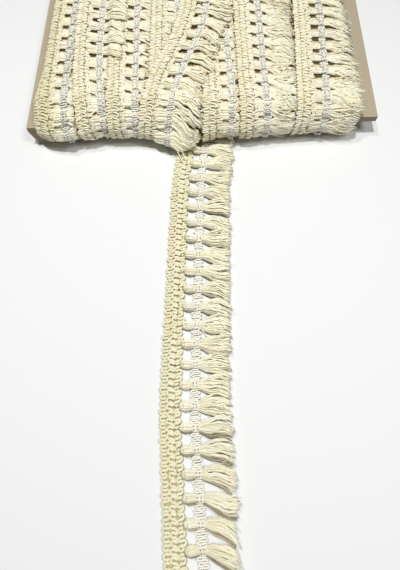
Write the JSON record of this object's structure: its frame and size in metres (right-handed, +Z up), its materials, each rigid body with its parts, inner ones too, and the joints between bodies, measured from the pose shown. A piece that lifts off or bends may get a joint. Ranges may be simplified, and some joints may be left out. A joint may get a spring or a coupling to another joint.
{
  "type": "tassel fringe trim",
  "caption": "Cream cotton tassel fringe trim with a looped braid heading, an open row and a stitched chain, wound round a flat kraft card with one end laid out straight.",
  "frame": {"origin": "on the table under the middle of the card", "axes": "+X across the card, towards the tassels of the loose end; +Y along the turns, away from the loose end; +Z up"},
  "size_m": [0.2286, 0.4191, 0.0288],
  "materials": {
    "cotton_gimp": "cream cotton gimp braid, matt",
    "tassel_yarn": "loose cream cotton yarn, matt",
    "kraft_board": "uncoated kraft board, matt"
  },
  "bodies": {
    "root": {"card": "kraft_board", "wound_trim": "cotton_gimp", "edge_fringe": "tassel_yarn", "tail_heading": "cotton_gimp", "tail_fringe": "tassel_yarn"}
  },
  "joints": []
}
